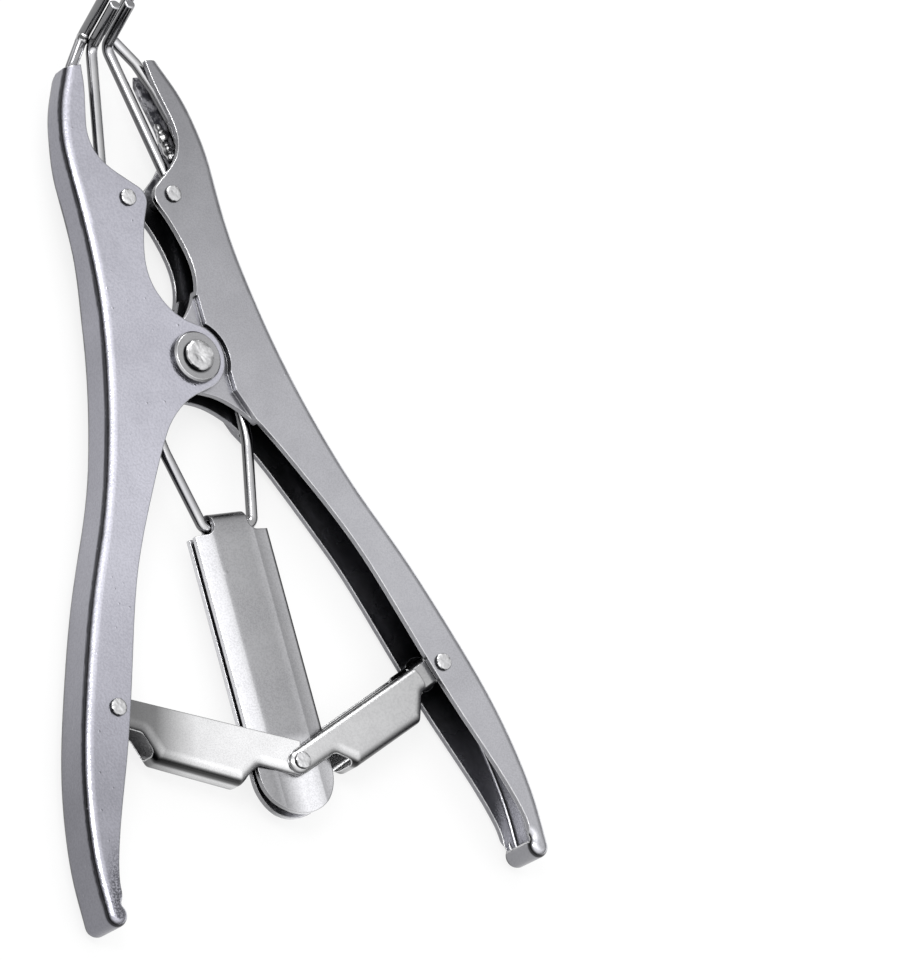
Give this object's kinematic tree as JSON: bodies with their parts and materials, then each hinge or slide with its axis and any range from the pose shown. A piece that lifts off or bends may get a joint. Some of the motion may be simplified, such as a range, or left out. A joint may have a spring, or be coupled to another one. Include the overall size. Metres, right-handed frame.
{
  "type": "elastrator pliers",
  "caption": "Steel pliers with channel handles whose prongs spread apart when squeezed, to stretch a small rubber ring over them.",
  "frame": {"origin": "centre of the main pivot rivet's flat rear head, the face the tool rests on", "axes": "+Y along the tool from the pivot to the jaws and prongs, +Z along the pivot towards the side the prongs point to, +X to the right as seen from there"},
  "size_m": [0.1438, 0.2516, 0.0269],
  "materials": {
    "handle_steel": "satin nickel plating over pressed steel",
    "link_steel": "bright plating on folded sheet",
    "slider_steel": "bright plating on folded sheet",
    "rod_steel": "bright plated wire",
    "rivet_steel": "rough riveted heads",
    "washer_steel": "satin plating",
    "weld_metal": "rough weld under plating"
  },
  "bodies": {
    "pivot": {"main_rivet": "rivet_steel", "front_washer": "washer_steel", "rear_washer": "washer_steel", "pivot_spacer": "washer_steel"},
    "left_handle_body": {"left_handle": "handle_steel", "left_guide_rivet": "rivet_steel", "left_link_rivet": "rivet_steel", "left_fixed_rod": "rod_steel", "left_weld_bead": "weld_metal"},
    "right_handle_body": {"right_handle": "handle_steel", "right_guide_rivet": "rivet_steel", "right_link_rivet": "rivet_steel", "right_fixed_rod": "rod_steel", "right_weld_bead": "weld_metal"},
    "slider_body": {"slider": "slider_steel", "centre_pin": "rivet_steel"},
    "left_link_body": {"left_link": "link_steel"},
    "right_link_body": {"right_link": "link_steel"},
    "left_rod_body": {"left_slide_rod": "rod_steel"},
    "right_rod_body": {"right_slide_rod": "rod_steel"}
  },
  "joints": [
    {"name": "left_handle_squeeze", "type": "hinge", "parent": "pivot", "child": "left_handle_body", "pos_m": [0, 0, 0.00875], "axis": [0, 0, 1], "range_deg": [0, 9]},
    {"name": "right_handle_squeeze", "type": "hinge", "parent": "pivot", "child": "right_handle_body", "pos_m": [0, 0, 0.00875], "axis": [0, 0, 1], "range_deg": [-9, 0]},
    {"name": "slider_slide", "type": "slide", "parent": "pivot", "child": "slider_body", "axis": [0, -1, 0], "range_m": [0, 0.0303]},
    {"name": "left_link_swing", "type": "hinge", "parent": "slider_body", "child": "left_link_body", "pos_m": [0, -0.1129, 0.00875], "axis": [0, 0, 1], "range_deg": [-27.7, 0]},
    {"name": "right_link_swing", "type": "hinge", "parent": "slider_body", "child": "right_link_body", "pos_m": [0, -0.1129, 0.00875], "axis": [0, 0, 1], "range_deg": [0, 27.7]},
    {"name": "left_rod_swing", "type": "hinge", "parent": "slider_body", "child": "left_rod_body", "pos_m": [-0.0068, -0.0456, 0.00875], "axis": [0, 0, 1], "range_deg": [0, 6.3]},
    {"name": "right_rod_swing", "type": "hinge", "parent": "slider_body", "child": "right_rod_body", "pos_m": [0.009, -0.0456, 0.00875], "axis": [0, 0, 1], "range_deg": [-6.3, 0]}
  ],
  "couplings": [
    {"joint": "right_handle_squeeze", "follows": "left_handle_squeeze", "ratio": -1},
    {"joint": "slider_slide", "follows": "left_handle_squeeze", "m_per_rad": 0.19264},
    {"joint": "left_link_swing", "follows": "left_handle_squeeze", "ratio": -3.062},
    {"joint": "right_link_swing", "follows": "left_handle_squeeze", "ratio": 3.062},
    {"joint": "left_rod_swing", "follows": "left_handle_squeeze", "ratio": 0.689},
    {"joint": "right_rod_swing", "follows": "left_handle_squeeze", "ratio": -0.689}
  ]
}
